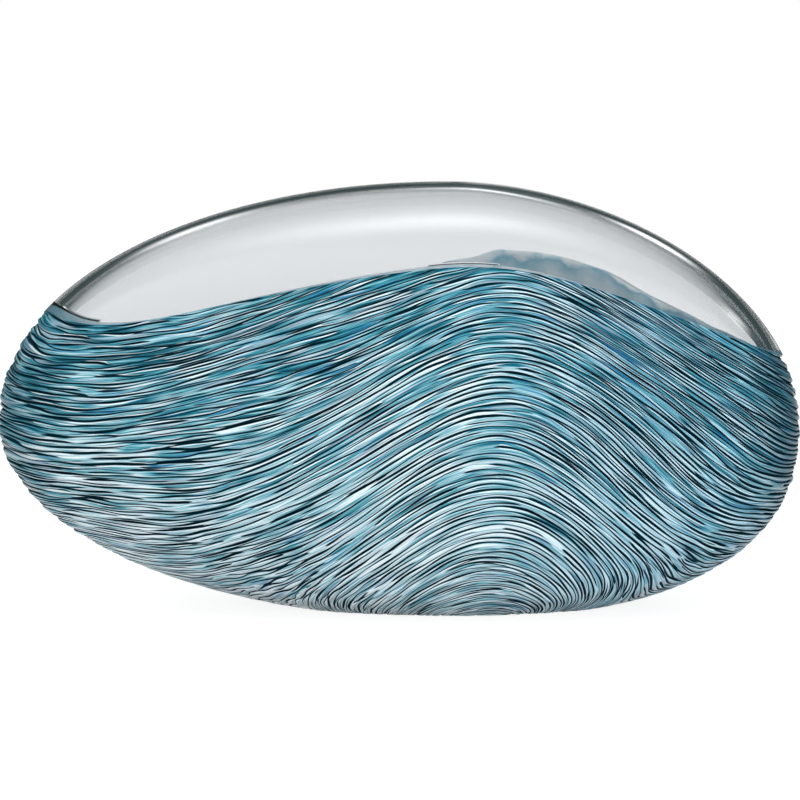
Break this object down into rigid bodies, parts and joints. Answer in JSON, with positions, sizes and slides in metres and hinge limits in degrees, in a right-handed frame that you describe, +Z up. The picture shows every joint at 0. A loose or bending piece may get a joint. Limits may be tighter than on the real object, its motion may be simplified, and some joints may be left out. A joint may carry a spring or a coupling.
{
  "type": "glass sculpture",
  "caption": "Hollow pebble-shaped glass sculpture: a clear polished crown joined along a wave line to a carved blue-green body, on a flat ground foot with soft pads.",
  "frame": {"origin": "on the table, under the middle of the sculpture's length and depth", "axes": "+X along the long axis towards the short end, +Y from the front to the back, +Z up"},
  "size_m": [0.4, 0.156, 0.2121],
  "materials": {
    "clear_glass": "polished",
    "carved_glass": "wheel-carved, semi-gloss",
    "plug_glass": "ground",
    "pad_rubber": "soft translucent"
  },
  "bodies": {
    "root": {"clear_crown": "clear_glass", "carved_body": "carved_glass", "foot_plug": "plug_glass", "pad_front_left": "pad_rubber", "pad_front_right": "pad_rubber", "pad_back_left": "pad_rubber", "pad_back_right": "pad_rubber"}
  },
  "joints": []
}
